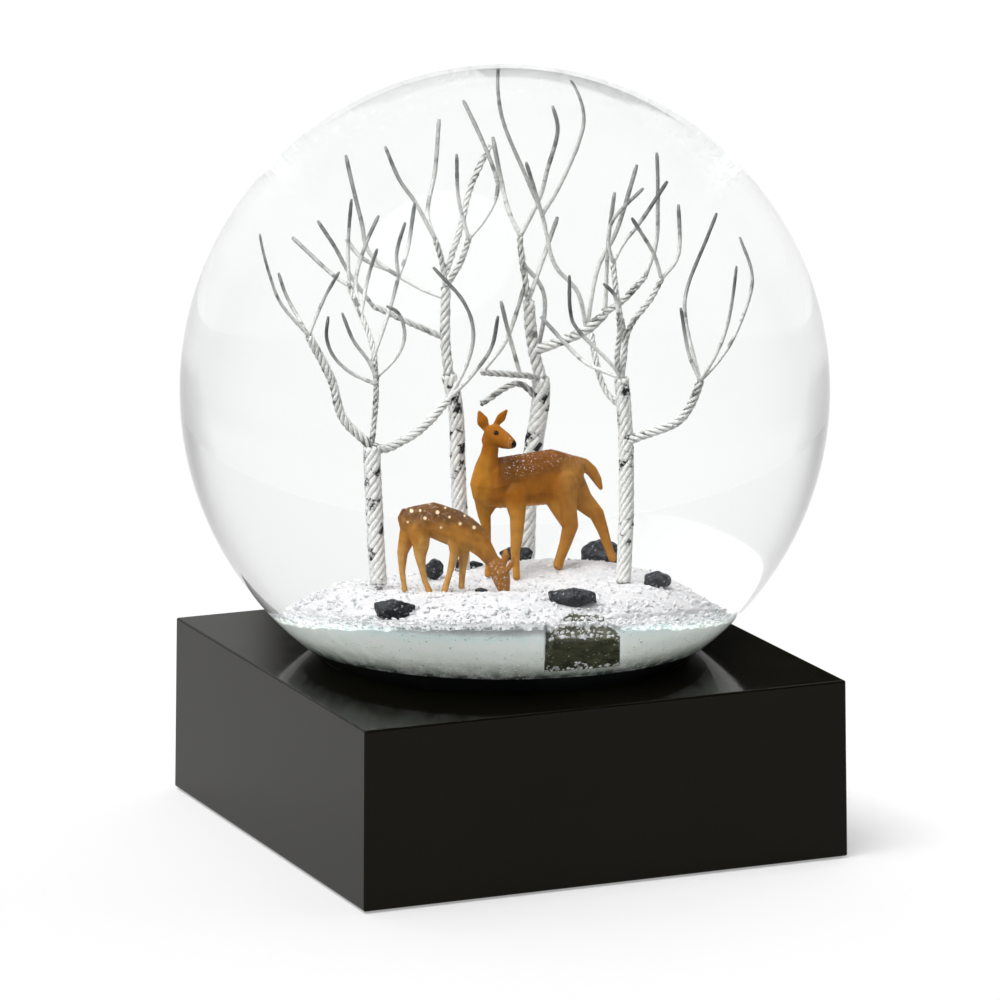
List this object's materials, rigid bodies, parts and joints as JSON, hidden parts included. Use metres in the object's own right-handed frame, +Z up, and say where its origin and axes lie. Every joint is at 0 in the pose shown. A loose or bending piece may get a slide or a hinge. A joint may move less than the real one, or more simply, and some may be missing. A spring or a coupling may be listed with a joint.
{
  "type": "snow globe",
  "caption": "Water-filled glass ball on a square black block base, holding a doe and fawn among bare twisted-wire trees, dark rocks and snow.",
  "frame": {"origin": "middle of the underside, on the surface that the globe stands on", "axes": "+Z up, +X to the right along the base's front face, +Y to the back; the front face looks towards -Y"},
  "size_m": [0.12, 0.12, 0.1425],
  "materials": {
    "base_black": "satin black, sharp edges, faint brown cast in the light",
    "plate_black": "fine moulded texture",
    "screw_steel": "zinc plated",
    "pad_felt": "short black felt",
    "ball_glass": "clear blown glass, polished",
    "stopper_rubber": "soft black rubber",
    "clear_silicone": "cured clear silicone",
    "cast_snow": "cast resin dusted with sparkling white grains",
    "loose_snow": "small glittering white flakes",
    "painted_wire": "steel wire thinly brushed with white paint, bare grey at the tips",
    "doe_coat": "hand-painted tan resin, darker back",
    "fawn_coat": "hand-painted tan resin with white spots",
    "boulder_stone": "dark olive, one flat split face",
    "dark_stone": "wet blue-black",
    "clear_liquid": "clear water with a trace of glycol"
  },
  "bodies": {
    "root": {"base_shell": "base_black", "base_plate": "plate_black", "cover_screws": "screw_steel", "foot_pad": "pad_felt", "globe": "ball_glass", "neck_stopper": "stopper_rubber", "sealant_bead": "clear_silicone", "seat_adhesive": "clear_silicone", "landscape": "cast_snow", "settled_snow": "loose_snow", "boulder_snow": "loose_snow", "loose_snow": "loose_snow", "tree_left": "painted_wire", "tree_back_left": "painted_wire", "tree_back_right": "painted_wire", "tree_right": "painted_wire", "doe": "doe_coat", "fawn": "fawn_coat", "boulder": "boulder_stone", "rock_front_left": "dark_stone", "rock_front_right": "dark_stone", "rock_right": "dark_stone", "rock_behind_doe": "dark_stone", "rock_behind_fawn": "dark_stone", "rock_by_tree": "dark_stone", "pebble_front": "dark_stone", "pebble_middle": "dark_stone", "liquid": "clear_liquid"}
  },
  "joints": []
}
